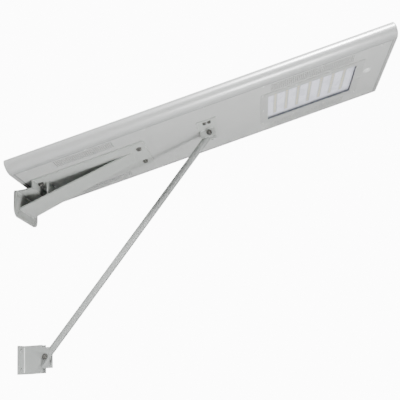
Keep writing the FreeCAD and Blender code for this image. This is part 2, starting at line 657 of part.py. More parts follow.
def arm():
    """The wedge arm: flange, top plate and pad under the housing, sloping web, cross rib, and its bolts."""
    outline = (FLANGE_WIDTH, FLANGE_HEIGHT, FLANGE_THICKNESS, FLANGE_LOW_CORNER, FLANGE_TOP_CORNER)
    flange = upright(rounded_plate(*outline), 0, 0)
    places = corners(FLANGE_HOLES_Y, FLANGE_HOLES_Z)
    flange = flange.cut(group(wall_bores(FLANGE_HOLE_RADIUS, places, 0, FLANGE_THICKNESS)))
    pad = slab(PAD_START, PAD_END, PAD_WIDTH, -ARM_PLATE, 0)
    pad_holes = bores(PAD_BOLT_RADIUS + PIVOT_CLEARANCE, pad_bolt_places(), -ARM_PLATE, ARM_PLATE)
    pad = on_lamp(pad.cut(group(pad_holes)))
    step = LAMP_PLACE.multVec(Vector(PAD_START, 0, -ARM_PLATE))
    flange_top = FLANGE_HEIGHT / 2
    shelf_low = flange_top - ARM_PLATE
    tilt = math.radians(TILT)
    tilt_rise = ARM_PLATE * math.tan(tilt)
    link_points = [
        (FLANGE_THICKNESS, flange_top),
        (step.x, flange_top),
        (step.x, step.z),
        (step.x + ARM_PLATE, step.z + tilt_rise),
        (step.x + ARM_PLATE, shelf_low),
        (FLANGE_THICKNESS, shelf_low),
    ]
    link = prism_across(link_points, -PAD_WIDTH / 2, PAD_WIDTH / 2)
    shelf_half = FLANGE_WIDTH / 2 - FLANGE_TOP_CORNER
    plan = [
        Vector(FLANGE_THICKNESS, -shelf_half, 0),
        Vector(step.x, -PAD_WIDTH / 2, 0),
        Vector(step.x + ARM_PLATE, -PAD_WIDTH / 2, 0),
        Vector(step.x + ARM_PLATE, PAD_WIDTH / 2, 0),
        Vector(step.x, PAD_WIDTH / 2, 0),
        Vector(FLANGE_THICKNESS, shelf_half, 0),
    ]
    plan_face = Part.Face(Part.makePolygon(plan + plan[:1]))
    link = link.common(plan_face.extrude(Vector(0, 0, step.z + ARM_PLATE)))
    web_tip = LAMP_PLACE.multVec(Vector(WEB_TIP, 0, -ARM_PLATE))
    root = Vector(FLANGE_THICKNESS, 0, -WEB_DROP)
    slope = math.atan2(web_tip.z - root.z, web_tip.x - root.x)
    rise = ARM_PLATE / math.cos(slope)
    tip_cut = ARM_PLATE / math.tan(slope - tilt)
    web_points = [
        (root.x, root.z),
        (web_tip.x, web_tip.z),
        (web_tip.x - tip_cut * math.cos(tilt), web_tip.z - tip_cut * math.sin(tilt)),
        (root.x, root.z + rise),
    ]
    half_pole = WEB_WIDTH_POLE / 2
    half_tip = WEB_WIDTH_TIP / 2
    web = prism_across(web_points, -half_pole, half_pole)
    taper = [
        Vector(root.x, -half_pole, root.z - ARM_PLATE),
        Vector(root.x, half_pole, root.z - ARM_PLATE),
        Vector(web_tip.x, half_tip, root.z - ARM_PLATE),
        Vector(web_tip.x, -half_tip, root.z - ARM_PLATE),
    ]
    taper_face = Part.Face(Part.makePolygon(taper + taper[:1]))
    web = web.common(taper_face.extrude(Vector(0, 0, web_tip.z - root.z + 2 * ARM_PLATE)))
    rib_top = LAMP_PLACE.multVec(Vector(RIB_AT, 0, -ARM_PLATE))
    web_top_at = root.z + rise + (rib_top.x - root.x) * math.tan(slope)
    web_top_after = web_top_at + ARM_PLATE * math.tan(slope)
    rib_points = [
        (rib_top.x, web_top_at),
        (rib_top.x + ARM_PLATE, web_top_after),
        (rib_top.x + ARM_PLATE, rib_top.z + tilt_rise),
        (rib_top.x, rib_top.z),
    ]
    rib = prism_across(rib_points, -RIB_WIDTH / 2, RIB_WIDTH / 2)
    bolts = []
    washers = []
    nuts = []
    for x, y in pad_bolt_places():
        base = Vector(x, y, -ARM_PLATE)
        grip = ARM_PLATE + SHEET + BACKING
        bolt, pair, nut = through_bolt(base, Z_AXIS, grip, PAD_BOLT_RADIUS, M8, SCREW_PROUD)
        bolts.append(bolt)
        washers += pair
        nuts.append(nut)
    return {
        "arm_flange": flange,
        "arm_pad": pad,
        "arm_link_plate": link,
        "arm_web": web,
        "arm_rib": rib,
        "arm_bolts": on_lamp(group(bolts)),
        "arm_washers": on_lamp(group(washers)),
        "arm_nuts": on_lamp(group(nuts)),
    }


def strut_lug():
    """A strip screwed under the housing with two welded ears that hold the strut's upper pivot."""
    base = slab(LUG_X - LUG_BASE_WIDTH / 2, LUG_X + LUG_BASE_WIDTH / 2, LUG_BASE_SPAN, -LUG_BASE, 0)
    screw_holes = bores(LUG_SCREW_RADIUS + PIVOT_CLEARANCE, lug_screw_places(), -LUG_BASE, LUG_BASE)
    ears = {}
    for name, side in (("lug_ear_near", -1), ("lug_ear_far", 1)):
        y0, y1 = sorted((side * EAR_GAP / 2, side * (EAR_GAP / 2 + EAR)))
        ear = box(LUG_X - LUG_EAR_POLE, LUG_X + LUG_EAR_TIP, y0, y1, -LUG_DEPTH, -LUG_BASE)
        low_edges = [edge for edge in ear.Edges if edge.BoundBox.ZMax < -LUG_BASE]
        across = [edge for edge in low_edges if edge.BoundBox.YLength > EAR / 2 > edge.BoundBox.XLength]
        ear = ear.makeFillet(LUG_EAR_CORNER, across)
        bore = rod(PIVOT_RADIUS + PIVOT_CLEARANCE, Vector(LUG_X, y0, -LUG_DROP), Y_AXIS, EAR)
        ears[name] = on_lamp(ear.cut(bore))
    screws = []
    nuts = []
    for x, y in lug_screw_places():
        screw_base = Vector(x, y, -LUG_BASE)
        grip = LUG_BASE + SHEET + BACKING
        bolt, pair, nut = through_bolt(screw_base, Z_AXIS, grip, LUG_SCREW_RADIUS, M6, SCREW_PROUD)
        screws.append(bolt.fuse(pair[0]))
        nuts.append(nut.fuse(pair[1]))
    return {
        "lug_base": on_lamp(base.cut(group(screw_holes))),
        **ears,
        "lug_screws": on_lamp(group(screws)),
        "lug_nuts": on_lamp(group(nuts)),
    }


def pivot_set(prefix, place):
    """The pivot bolt with its head on the far side, two washers, a nut and two spacers beside the strut."""
    outside = EAR_GAP / 2 + EAR
    base = place + Vector(0, outside, 0)
    bolt, washers, nut = through_bolt(base, -Y_AXIS, 2 * outside, PIVOT_RADIUS, M8, THREAD_PROUD)
    bore = PIVOT_RADIUS + PIVOT_CLEARANCE
    spacers = [
        washer(SPACER_RADIUS, bore, SPACER, place + Vector(0, -EAR_GAP / 2, 0), Y_AXIS),
        washer(SPACER_RADIUS, bore, SPACER, place + Vector(0, EAR_GAP / 2, 0), -Y_AXIS),
    ]
    return {
        prefix + "_pivot_bolt": bolt,
        prefix + "_pivot_washers": group(washers),
        prefix + "_pivot_nut": nut,
        prefix + "_pivot_spacers": group(spacers),
    }


def strut_end(place, towards):
    """A solid end piece: rounded about the pivot, bored for the bolt, with a spigot inside the tube."""
    barrel = rod(STRUT_RADIUS, place, towards, STRUT_END_LENGTH)
    round_end = rod(STRUT_RADIUS, place - towards * STRUT_RADIUS, towards, STRUT_RADIUS)
    knuckle = rod(STRUT_RADIUS, place - Y_AXIS * STRUT_RADIUS, Y_AXIS, 2 * STRUT_RADIUS)
    spigot_radius = STRUT_RADIUS - STRUT_WALL - PIVOT_CLEARANCE
    spigot = rod(spigot_radius, place + towards * STRUT_END_LENGTH, towards, SPIGOT)
    bore = rod(PIVOT_RADIUS + PIVOT_CLEARANCE, place - Y_AXIS * STRUT_RADIUS, Y_AXIS, 2 * STRUT_RADIUS)
    return fuse([barrel, round_end.common(knuckle), spigot]).cut(bore)


def strut():
    along = (SHOE_PIVOT - LUG_PIVOT).normalize()
    start = LUG_PIVOT + along * STRUT_END_LENGTH
    length = (SHOE_PIVOT - LUG_PIVOT).Length - 2 * STRUT_END_LENGTH
    tube = rod(STRUT_RADIUS, start, along, length).cut(rod(STRUT_RADIUS - STRUT_WALL, start, along, length))
    return {
        "strut_tube": tube,
        "strut_upper_end": strut_end(LUG_PIVOT, along),
        "strut_lower_end": strut_end(SHOE_PIVOT, -along),
    }


def pole_shoe():
    """The plate that is fixed to the pole or wall and the two ears that hold the strut's lower pivot."""
    flat = rounded_plate(SHOE_WIDTH, SHOE_HEIGHT, SHOE_THICKNESS, SHOE_CORNER, SHOE_CORNER)
    places = corners(SHOE_HOLES_Y, SHOE_HOLES_Z)
    holes = wall_bores(SHOE_HOLE_RADIUS, places, SHOE_CENTRE_Z, SHOE_THICKNESS)
    low = SHOE_CENTRE_Z - SHOE_HEIGHT / 2
    high = SHOE_CENTRE_Z + SHOE_HEIGHT / 2
    ear_low = SHOE_PIVOT.z - CLEVIS_EAR_HEIGHT / 2 - CLEVIS_EAR_DROP
    ear_high = ear_low + CLEVIS_EAR_HEIGHT
    outline = [
        (SHOE_THICKNESS, low),
        (CLEVIS_FULL, low),
        (CLEVIS_FULL, ear_low),
        (CLEVIS_REACH, ear_low),
        (CLEVIS_REACH, ear_high),
        (CLEVIS_FULL, ear_high),
        (CLEVIS_FULL, high),
        (SHOE_THICKNESS, high),
    ]
    ears = {}
    for name, side in (("shoe_ear_near", -1), ("shoe_ear_far", 1)):
        y0, y1 = sorted((side * EAR_GAP / 2, side * (EAR_GAP / 2 + EAR)))
        bore = rod(PIVOT_RADIUS + PIVOT_CLEARANCE, SHOE_PIVOT + Y_AXIS * y0, Y_AXIS, EAR)
        ears[name] = prism_across(outline, y0, y1).cut(bore)
    return {"shoe_plate": upright(flat, 0, SHOE_CENTRE_Z).cut(group(holes)), **ears}


def housing():
    nodes = {
        "side_rail_near": side_rail(-1),
        "side_rail_far": side_rail(1),
        "end_cap_pole": end_cap(False),
        "end_cap_tip": end_cap(True),
        "cap_screws_pole": cap_screws(False),
        "cap_screws_tip": cap_screws(True),
        "bottom_sheet": bottom_sheet(),
        "sheet_screws": sheet_screws(),
        "vent_filters": vent_filters(),
    }
    for made in (light_engine(), solar_panel(), battery(), inner_parts(), motion_sensor()):
        nodes.update(made)
    return {name: on_lamp(shape) for name, shape in nodes.items()}


def main():
    os.makedirs("parts", exist_ok=True)
    nodes = {}
    for made in (housing(), arm(), strut_lug(), pivot_set("upper", LUG_PIVOT), strut()):
        nodes.update(made)
    nodes.update(pivot_set("lower", SHOE_PIVOT))
    nodes.update(pole_shoe())
    for name, shape in nodes.items():
        if not shape.isValid() or shape.Volume <= 0:
            raise ValueError(name + " isn't a valid solid")
        shape.exportStep(os.path.join("parts", name + ".step"))
    print("nodes", len(nodes))
    print("lug pivot", LUG_PIVOT, "shoe pivot", SHOE_PIVOT)


main()
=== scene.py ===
import math

import bmesh
import bpy
from bpy.props import FloatProperty, FloatVectorProperty, IntProperty, PointerProperty
from mathutils import Matrix, Vector, noise


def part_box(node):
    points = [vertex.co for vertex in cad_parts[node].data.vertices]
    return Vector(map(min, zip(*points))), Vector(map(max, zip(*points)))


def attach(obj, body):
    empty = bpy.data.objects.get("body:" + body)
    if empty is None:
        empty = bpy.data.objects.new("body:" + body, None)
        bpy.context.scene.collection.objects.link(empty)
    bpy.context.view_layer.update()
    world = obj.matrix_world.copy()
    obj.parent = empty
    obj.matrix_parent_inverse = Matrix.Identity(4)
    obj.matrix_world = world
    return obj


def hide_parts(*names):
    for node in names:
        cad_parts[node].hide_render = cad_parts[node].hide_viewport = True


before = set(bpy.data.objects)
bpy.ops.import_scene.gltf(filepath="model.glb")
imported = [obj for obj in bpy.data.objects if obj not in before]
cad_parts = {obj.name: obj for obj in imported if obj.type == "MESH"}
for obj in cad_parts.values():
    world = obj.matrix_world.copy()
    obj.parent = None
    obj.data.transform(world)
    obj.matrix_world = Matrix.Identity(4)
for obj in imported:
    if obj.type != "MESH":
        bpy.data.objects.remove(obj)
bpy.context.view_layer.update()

bl_info = {
    "name": "Solar street lamp",
    "version": (1, 0, 0),
    "blender": (4, 5, 0),
    "location": "3D View > Sidebar > Street Lamp",
    "description": "Finishes and small parts of a solar street lamp with a wedge arm and a strut",
    "category": "Object",
}

# The housing's own frame: X along it from the pole end, Z = 0 at the underside sheet.
TILT = math.radians(15)
HOUSING = Matrix.Translation((0.020, 0, 0.0515)) @ Matrix.Rotation(-TILT, 4, "Y")
MM = 0.001
HEX_STEP = math.pi / 3

# Hardware
M8_SHANK = 4.0 * MM
M8_BORE = 4.05 * MM
M6_SHANK = 3.0 * MM
M6_BORE = 3.05 * MM
M6_FLATS = 10 * MM
M6_HEAD = 4.0 * MM
M6_WASHER = 1.2 * MM
M6_PITCH_SHARE = 0.8
SCREW_RADIUS = 3.0 * MM
SCREW_HEAD = 1.8 * MM
SCREW_SHANK = 1.5 * MM
SCREW_POINT = 0.9 * MM

# Plates and beads
PLATE = 4 * MM
FLANGE_CORNER = 12 * MM
BEAD_INSET = 3 * MM
RIB_BEAD_LIFT = 2.2 * MM
SHOE_BEAD_INSET = 4 * MM
TUBE_EDGE = 0.4 * MM
PANEL_LIP = 9 * MM
SEAL_STEP = 8 * MM
SEAM_HALF_GAP = 0.5 * MM
SEAM_RADIUS = 1.3 * MM
SEAM_LEVEL = 1.0 * MM
SEAM_STEP = 20 * MM

# Stage
FLOOR_WHITE = 0.8
WALL_WHITE = 0.2
SWEEP_STEPS = 16
SENSOR_WIDTH = 36
LENS = 58.08
CAMERA_PLACE = (0.6441, -1.7759, -0.4814)
CAMERA_RIGHT = (0.9932, 0.0920, -0.0672)
CAMERA_AHEAD = (-0.0719, 0.9649, 0.2526)


# ---------------------------------------------------------------- settings


class MaterialSettings(bpy.types.PropertyGroup):
    """Colours and roughness of the finishes."""

    rail_color: FloatVectorProperty(
        name="Rail", description="Anodised colour of the side rails", subtype="COLOR", size=3,
        default=(0.56, 0.57, 0.565), min=0, max=1,
    )
    sheet_color: FloatVectorProperty(
        name="Sheet", description="Powder coat of the underside sheet", subtype="COLOR", size=3,
        default=(0.50, 0.51, 0.50), min=0, max=1,
    )
    arm_color: FloatVectorProperty(
        name="Arm", description="Paint of the arm, strut and shoe", subtype="COLOR", size=3,
        default=(0.47, 0.49, 0.47), min=0, max=1,
    )
    # Painted shade: the strut and the shoe wear the arm's paint, drawn darker here for the shade they sit
    # in.
    strut_shaded_color: FloatVectorProperty(
        name="Strut", description="Paint of the strut", subtype="COLOR", size=3,
        default=(0.31, 0.325, 0.315), min=0, max=1,
    )
    zinc_color: FloatVectorProperty(
        name="Zinc", description="Plated bolts, nuts and washers", subtype="COLOR", size=3,
        default=(0.13, 0.13, 0.12), min=0, max=1,
    )
    phosphor_color: FloatVectorProperty(
        name="Phosphor", description="Face of the emitters", subtype="COLOR", size=3,
        default=(0.88, 0.74, 0.26), min=0, max=1,
    )
    reflector_color: FloatVectorProperty(
        name="Reflector", description="Sheet between the rows of emitters", subtype="COLOR", size=3,
        default=(0.82, 0.83, 0.92), min=0, max=1,
    )
    rail_roughness: FloatProperty(
        name="Rail roughness", description="Roughness of the anodised rails", subtype="FACTOR",
        default=0.38, min=0, max=1,
    )
    paint_roughness: FloatProperty(
        name="Paint roughness", description="Roughness of the powder coat", subtype="FACTOR",
        default=0.48, min=0, max=1,
    )


class PieceSettings(bpy.types.PropertyGroup):
    """Sizes of the small parts."""

    bead_radius: FloatProperty(
        name="Weld bead", description="Radius of the weld beads", subtype="DISTANCE", unit="LENGTH",
        default=1.7 * MM, min=0.2 * MM,
    )
    bead_ripple: FloatProperty(
        name="Weld ripple", description="Length of one ripple of a bead", subtype="DISTANCE", unit="LENGTH",
        default=2.4 * MM, min=0.5 * MM,
    )
    thread_pitch: FloatProperty(
        name="Thread pitch", description="Pitch of the pivot bolts' thread", subtype="DISTANCE",
        unit="LENGTH", default=1.25 * MM, min=0.3 * MM,
    )
    thread_depth: FloatProperty(
        name="Thread depth", description="Depth of the thread grooves", subtype="DISTANCE", unit="LENGTH",
        default=0.6 * MM, min=0.1 * MM,
    )
    seal_radius: FloatProperty(
        name="Panel seal", description="Radius of the sealant bead round the panel", subtype="DISTANCE",
        unit="LENGTH", default=1.2 * MM, min=0.2 * MM,
    )
    strut_end: FloatProperty(
        name="Strut end", description="Distance from a pivot to the tube's end", subtype="DISTANCE",
        unit="LENGTH", default=24 * MM, min=0,
    )
    strut_wall: FloatProperty(
        name="Strut wall", description="Wall of the strut's tube", subtype="DISTANCE", unit="LENGTH",
        default=1.5 * MM, min=0.2 * MM,
    )
    lens_rings: IntProperty(
        name="Lens rings", description="Rings of the sensor's stepped lens", default=5, min=2, max=12,
    )


class StageSettings(bpy.types.PropertyGroup):
    """Floor, backdrop and lights."""

    floor_drop: FloatProperty(
        name="Floor", description="Height of the floor", subtype="DISTANCE", unit="LENGTH", default=-1.0,
    )
    key_power: FloatProperty(
        name="Key light", description="Power of the light over the near side", unit="POWER",
        default=185, min=0,
    )
    under_power: FloatProperty(
        name="Under light", description="Power of the light below the tip", unit="POWER", default=23, min=0,
    )
    fill_power: FloatProperty(
        name="Fill light", description="Power of the light at the pole's side", unit="POWER",
        default=3, min=0,
    )
    sky: FloatProperty(
        name="Sky", description="Strength of the white surroundings", default=0.14, min=0,
    )
    glow: FloatProperty(
        name="Backdrop", description="Brightness of the backdrop as it is seen", default=12.0, min=0,
    )


def materials_of(context):
    return context.scene.lamp_materials


# ---------------------------------------------------------------- materials


class Shader:
    """A material under construction: its nodes, its links and its principled shader."""

    def __init__(self, name):
        self.material = bpy.data.materials.new(name)
        self.material.use_nodes = True
        self.nodes = self.material.node_tree.nodes
        self.links = self.material.node_tree.links
        self.surface = self.nodes["Principled BSDF"]

    def node(self, kind, inputs=(), **settings):
        made = self.nodes.new(kind)
        for key, value in settings.items():
            setattr(made, key, value)
        for key, value in dict(inputs).items():
            made.inputs[key].default_value = value
        return made

    def link(self, source, target):
        self.links.new(source, target)

    def set(self, **values):
        for key, value in values.items():
            self.surface.inputs[key.replace("_", " ")].default_value = value

    def coordinates(self, scale=(1, 1, 1), turn=0.0):
        """Object coordinates, turned about Y and scaled, in metres before scaling."""
        source = self.node("ShaderNodeTexCoord")
        mapping = self.node("ShaderNodeMapping", {"Rotation": (0, turn, 0), "Scale": scale})
        self.link(source.outputs["Object"], mapping.inputs["Vector"])
        return mapping.outputs["Vector"]

    def noise(self, vector, scale, detail=3.0, roughness=0.5):
        made = self.node("ShaderNodeTexNoise", {"Scale": scale, "Detail": detail, "Roughness": roughness})
        self.link(vector, made.inputs["Vector"])
        return made.outputs["Fac"]

    def ramp(self, factor, *stops):
        made = self.node("ShaderNodeValToRGB")
        ramp = made.color_ramp
        while len(ramp.elements) < len(stops):
            ramp.elements.new(0.5)
        for element, (position, color) in zip(ramp.elements, stops):
            element.position = position
            element.color = (*color, 1)
        self.link(factor, made.inputs["Fac"])
        return made.outputs["Color"]

    def spread(self, factor, low, high, from_low=0.0, from_high=1.0):
        inputs = {"From Min": from_low, "From Max": from_high, "To Min": low, "To Max": high}
        made = self.node("ShaderNodeMapRange", inputs)
        self.link(factor, made.inputs["Value"])
        return made.outputs["Result"]

    def math(self, operation, first, second):
        made = self.node("ShaderNodeMath", operation=operation)
        for slot, value in zip(made.inputs, (first, second)):
            if isinstance(value, (int, float)):
                slot.default_value = value
            else:
                self.link(value, slot)
        return made.outputs["Value"]

    def bump(self, height, strength, distance, after=None):
        made = self.node("ShaderNodeBump", {"Strength": strength, "Distance": distance})
        self.link(height, made.inputs["Height"])
        if after is not None:
            self.link(after, made.inputs["Normal"])
        self.link(made.outputs["Normal"], self.surface.inputs["Normal"])
        return made.outputs["Normal"]

    def color(self, output):
        self.link(output, self.surface.inputs["Base Color"])

    def roughness(self, output):
        self.link(output, self.surface.inputs["Roughness"])


def shade(color, factor):
    return tuple(min(1.0, channel * factor) for channel in color)


def rail_finish(settings):
    """Satin anodised extrusion, with die lines along its length."""
    made = Shader("anodised_rail")
    along = made.coordinates(scale=(2, 900, 900), turn=TILT)
    lines = made.noise(along, 1.0, detail=4)
    cloud = made.noise(made.coordinates(), 7.0)
    base = settings.rail_color
    made.color(made.ramp(cloud, (0.3, shade(base, 0.96)), (0.7, shade(base, 1.03))))
    made.roughness(made.spread(lines, settings.rail_roughness - 0.06, settings.rail_roughness + 0.06))
    made.bump(lines, 0.05, 0.1 * MM)
    made.set(Metallic=0.45)
    return made.material


def powder_coat(name, base, roughness, peel_strength=0.12):
    """Powder coat: orange peel, a little cloudiness and faint dust."""
    made = Shader(name)
    place = made.coordinates()
    peel = made.noise(place, 900.0, detail=2)
    cloud = made.noise(place, 9.0, detail=5, roughness=0.6)
    dust = made.noise(place, 160.0, detail=6, roughness=0.7)
    mixed = made.math("ADD", made.math("MULTIPLY", cloud, 0.7), made.math("MULTIPLY", dust, 0.3))
    made.color(made.ramp(mixed, (0.30, shade(base, 0.95)), (0.55, tuple(base)), (0.75, shade(base, 1.03))))
    made.roughness(made.spread(dust, roughness - 0.07, roughness + 0.10))
    made.bump(peel, peel_strength, 0.08 * MM)
    return made.material


def plated_steel(name, base, metallic=0.85):
    """Zinc plate: mottled, with fine scratches."""
    made = Shader(name)
    place = made.coordinates()
    mottle = made.noise(place, 420.0, detail=4)
    scratch = made.noise(made.coordinates(scale=(3000, 300, 300)), 1.0, detail=2)
    made.color(made.ramp(mottle, (0.3, shade(base, 0.75)), (0.7, shade(base, 1.25))))
    made.roughness(made.spread(scratch, 0.32, 0.55))
    made.bump(scratch, 0.08, 0.05 * MM)
    made.set(Metallic=metallic)
    return made.material


def clear_glass(name, tint, alpha):
    """Clear cover glass: mostly see-through, with a sharp gloss and a trace of smear."""
    made = Shader(name)
    smear = made.noise(made.coordinates(), 30.0, detail=5)
    made.roughness(made.spread(smear, 0.03, 0.10))
    made.color(made.ramp(smear, (0.3, shade(tint, 0.98)), (0.7, tuple(tint))))
    made.set(Alpha=alpha, IOR=1.5)
    return made.material


def rubber(name, base):
    made = Shader(name)
    grain = made.noise(made.coordinates(), 1400.0)
    made.color(made.ramp(grain, (0.3, shade(base, 0.8)), (0.7, shade(base, 1.2))))
    made.roughness(made.spread(grain, 0.65, 0.85))
    made.bump(grain, 0.2, 0.05 * MM)
    return made.material


def moulded(name, base, roughness=0.45, texture=1100.0, strength=0.15, metallic=0.0):
    """Moulded or sleeved plastic with a fine spark-eroded texture."""
    made = Shader(name)
    place = made.coordinates()
    grain = made.noise(place, texture)
    cloud = made.noise(place, 25.0)
    made.color(made.ramp(cloud, (0.3, shade(base, 0.92)), (0.7, shade(base, 1.06))))
    made.roughness(made.spread(grain, roughness - 0.08, roughness + 0.1))
    made.bump(grain, strength, 0.05 * MM)
    made.set(Metallic=metallic)
    return made.material


def pressed_reflector(settings):
    """White sheet of the light window, with a faint dimpled press and a faint painted glow of its own
    colour.
    """
    made = Shader("reflector_sheet_glow")
    place = made.coordinates(turn=TILT)
    dimples = made.node("ShaderNodeTexVoronoi", {"Scale": 330.0})
    made.link(place, dimples.inputs["Vector"])
    cloud = made.noise(place, 20.0)
    base = settings.reflector_color
    made.color(made.ramp(cloud, (0.3, shade(base, 0.94)), (0.7, shade(base, 1.05))))
    made.roughness(made.spread(cloud, 0.22, 0.34))
    made.bump(dimples.outputs["Distance"], 0.12, 0.2 * MM)
    # Painted glow: the sheet emits its own colour to brighten the unlit light window.
    made.surface.inputs["Emission Color"].default_value = (*base, 1)
    made.surface.inputs["Emission Strength"].default_value = 0.22
    return made.material


def phosphor(settings):
    made = Shader("phosphor")
    grain = made.noise(made.coordinates(), 2600.0)
    base = settings.phosphor_color
    made.color(made.ramp(grain, (0.3, shade(base, 0.85)), (0.7, shade(base, 1.1))))
    made.roughness(made.spread(grain, 0.25, 0.4))
    made.bump(grain, 0.1, 0.03 * MM)
    made.surface.inputs["Subsurface Weight"].default_value = 0.15
    made.surface.inputs["Subsurface Scale"].default_value = 0.5 * MM
    return made.material


def solder_mask():
    """White emitter board with faint copper lines under the mask."""
    made = Shader("solder_mask")
    place = made.coordinates(turn=TILT)
    tracks = made.node("ShaderNodeTexBrick", {"Scale": 60.0, "Mortar Size": 0.03})
    tracks.inputs["Color1"].default_value = (0.50, 0.52, 0.54, 1)
    tracks.inputs["Color2"].default_value = (0.46, 0.48, 0.50, 1)
    tracks.inputs["Mortar"].default_value = (0.36, 0.39, 0.42, 1)
    made.link(place, tracks.inputs["Vector"])
    made.color(tracks.outputs["Color"])
    grain = made.noise(place, 800.0)
    made.roughness(made.spread(grain, 0.3, 0.45))
    made.bump(tracks.outputs["Fac"], 0.1, 0.05 * MM)
    return made.material


def solar_cell():
    """Dark silicon with printed fingers across and bus bars along each cell."""
    made = Shader("solar_cell")
    split = made.node("ShaderNodeSeparateXYZ")
    made.link(made.coordinates(turn=TILT), split.inputs["Vector"])

    def stripes(axis, pitch, share):
        phase = made.math("FRACT", made.math("DIVIDE", split.outputs[axis], pitch), 0)
        return made.math("LESS_THAN", phase, share)

    fingers = stripes("X", 1.8 * MM, 0.10)
    buses = stripes("Y", 27.67 * MM, 0.055)
    printed = made.math("MAXIMUM", made.math("MULTIPLY", fingers, 0.35), buses)
    crystal = made.noise(made.coordinates(), 45.0, detail=5)
    blend = made.node("ShaderNodeMix", data_type="RGBA")
    silicon = made.ramp(crystal, (0.3, (0.010, 0.014, 0.045)), (0.7, (0.018, 0.028, 0.085)))
    made.link(silicon, blend.inputs["A"])
    blend.inputs["B"].default_value = (0.62, 0.63, 0.66, 1)
    made.link(printed, blend.inputs["Factor"])
    made.color(blend.outputs["Result"])
    made.roughness(made.spread(crystal, 0.22, 0.36))
    made.bump(printed, 0.2, 0.05 * MM)
    return made.material


def studio_white(name, value, glow):
    """Matt white that is seen as a burnt-out white backdrop but lights the lamp only by bounce."""
    made = Shader(name)
    made.set(Base_Color=(value, value, value, 1), Roughness=0.95)
    made.surface.inputs["Specular IOR Level"].default_value = 0.0
    path = made.node("ShaderNodeLightPath")
    shine = made.node("ShaderNodeEmission", {"Strength": glow})
    choice = made.node("ShaderNodeMixShader")
    made.link(path.outputs["Is Camera Ray"], choice.inputs["Fac"])
    made.link(made.surface.outputs["BSDF"], choice.inputs[1])
    made.link(shine.outputs["Emission"], choice.inputs[2])
    made.link(choice.outputs["Shader"], made.nodes["Material Output"].inputs["Surface"])
    return made.material


def make_materials(settings):
    """Every finish by name."""
    paint = settings.paint_roughness
    return {
        "rail": rail_finish(settings),
        "cap": powder_coat("cap_paint", shade(settings.rail_color, 0.72), paint),
        "sheet": powder_coat("sheet_paint", settings.sheet_color, paint),
        "bezel": powder_coat("bezel_paint", shade(settings.sheet_color, 0.90), paint - 0.08),
        "arm": powder_coat("arm_paint", settings.arm_color, paint - 0.04),
        # The strut's paint is the arm's paint drawn darker as painted shade.
        "strut": powder_coat("strut_shaded_paint", settings.strut_shaded_color, paint, peel_strength=0.01),
        "zinc": plated_steel("zinc_plate", settings.zinc_color, metallic=0.55),
        "steel": plated_steel("inner_steel", (0.55, 0.56, 0.57)),
        "nylon": moulded("nylon", (0.70, 0.70, 0.67)),
        "window_glass": clear_glass("window_glass_finish", (0.93, 0.94, 1.0), 0.16),
        "panel_glass": clear_glass("panel_glass_finish", (0.85, 0.90, 0.98), 0.10),
        "gasket": rubber("gasket_rubber", (0.09, 0.095, 0.105)),
        "phosphor": phosphor(settings),
        "package": moulded("emitter_package", (0.90, 0.84, 0.52), roughness=0.3),
        "reflector": pressed_reflector(settings),
        "board": solder_mask(),
        "sink": moulded("sink_aluminium", (0.62, 0.63, 0.64), roughness=0.4, texture=700.0, metallic=0.8),
        "cell": solar_cell(),
        "backsheet": moulded("backsheet", (0.80, 0.80, 0.80), roughness=0.5, texture=500.0),
        "black": moulded("black_plastic", (0.03, 0.03, 0.032)),
        "sleeve": moulded("cell_sleeve", (0.05, 0.16, 0.42), roughness=0.3, strength=0.05),
        # The sensor's plastic is drawn darker than the housing's grey: painted shade for the darker shading
        # round its raised ring.
        "sensor": moulded("sensor_plastic", (0.30, 0.31, 0.30), roughness=0.4, texture=900.0),
        # Dark sealant of the panel's seal bead, also used for the painted shade in the seam round the
        # underside sheet.
        "sealant": rubber("sealant_and_seam_shade", (0.05, 0.05, 0.055)),
        # Near-black pads behind the vent slots: painted shade for the dark inside of the housing seen
        # through the slots.
        "vent_shade": rubber("filter_felt", (0.02, 0.021, 0.02)),
    }


NODE_FINISHES = {
    "rail": "side_rail_near side_rail_far",
    "cap": "end_cap_pole end_cap_tip",
    "sheet": "bottom_sheet sheet_screws bezel_screws",
    "bezel": "window_bezel",
    "arm": "arm_flange arm_pad arm_link_plate arm_web arm_rib lug_base lug_ear_near lug_ear_far",
    # The strut and the shoe take the darker copy of the arm paint, as painted shade.
    "strut": "strut_tube strut_upper_end strut_lower_end shoe_plate shoe_ear_near shoe_ear_far",
    "zinc": "arm_bolts arm_nuts arm_washers lug_screws lug_nuts upper_pivot_bolt upper_pivot_nut "
    "upper_pivot_washers lower_pivot_bolt lower_pivot_nut lower_pivot_washers cap_screws_pole "
    "cap_screws_tip",
    "steel": "arm_backing_strips lug_backing_strip",
    "nylon": "upper_pivot_spacers lower_pivot_spacers",
    "window_glass": "window_glass",
    "panel_glass": "panel_glass",
    "gasket": "window_gasket",
    "phosphor": "led_emitters",
    "reflector": "led_reflector",
    "board": "led_board",
    "sink": "heat_sink",
    "cell": "panel_cells",
    "backsheet": "panel_backsheet",
    "black": "panel_junction_box battery_tray charge_controller battery_lead led_lead panel_lead "
    "battery_straps",
    "sleeve": "battery_cells",
    "sensor": "sensor_lens sensor_body",
    # The vent pads are near black as painted shade of the housing's inside.
    "vent_shade": "vent_filters",
}


# ---------------------------------------------------------------- mesh work


